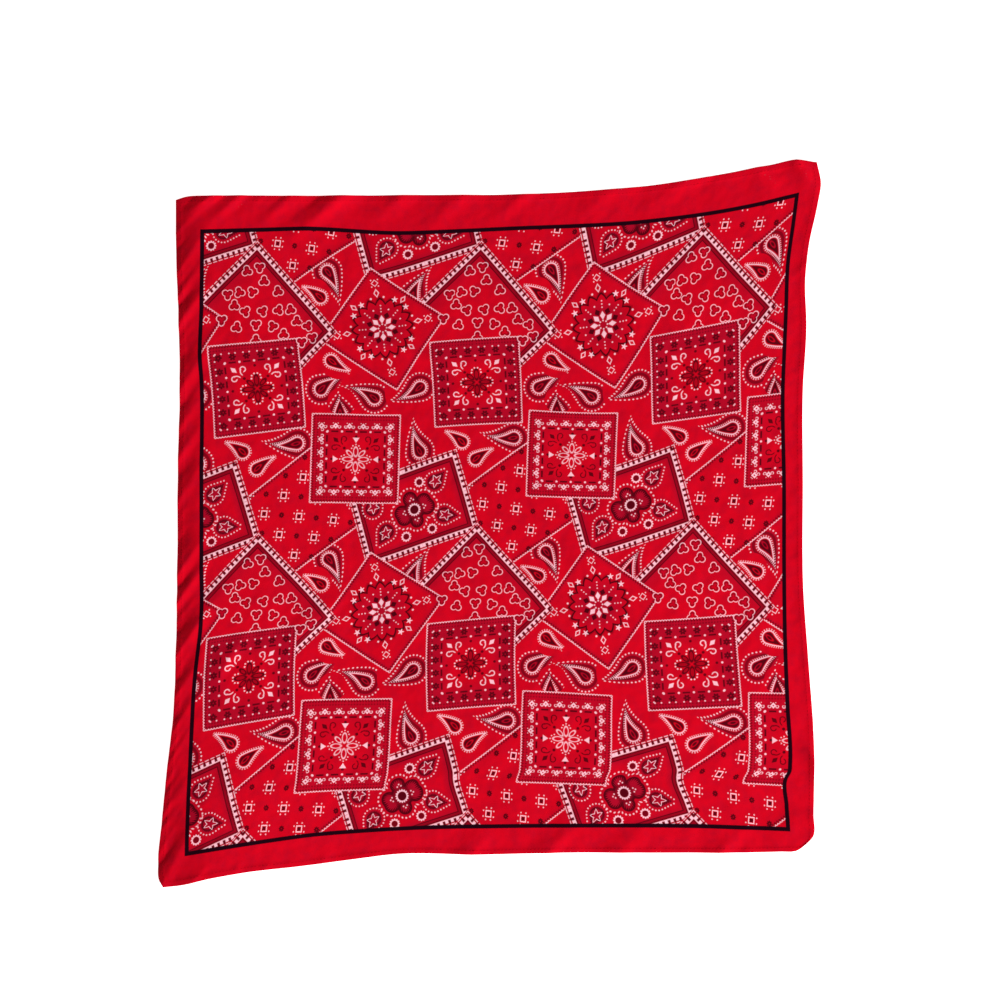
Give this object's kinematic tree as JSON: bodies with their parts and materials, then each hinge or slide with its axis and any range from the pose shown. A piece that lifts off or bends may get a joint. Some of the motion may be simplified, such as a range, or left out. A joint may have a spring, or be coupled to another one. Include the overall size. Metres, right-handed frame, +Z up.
{
  "type": "bandana",
  "caption": "Square printed cotton bandana laid flat, with a plain border, narrow turned hems, rippled edges and a corner turned under; it rests on its flat underside.",
  "frame": {"origin": "centre of the laid-out cloth's box, in the plane of its flat underside", "axes": "+Z up, out of the printed face; +Y towards the top edge, so that the lower right corner is the one turned under; +X to the right"},
  "size_m": [0.5387, 0.5906, 0.0066],
  "materials": {
    "printed_cotton": "plain-woven cotton printed in red, dark red and white",
    "hem_cotton": "plain-woven red cotton, turned and stitched",
    "reverse_cotton": "reverse of the printed cotton, slightly paler",
    "sewing_thread": "red sewing thread"
  },
  "bodies": {
    "root": {"panel": "printed_cotton", "hem_top": "hem_cotton", "hem_bottom": "hem_cotton", "hem_left": "hem_cotton", "hem_right": "hem_cotton", "corner_turned_under": "reverse_cotton"}
  },
  "joints": []
}
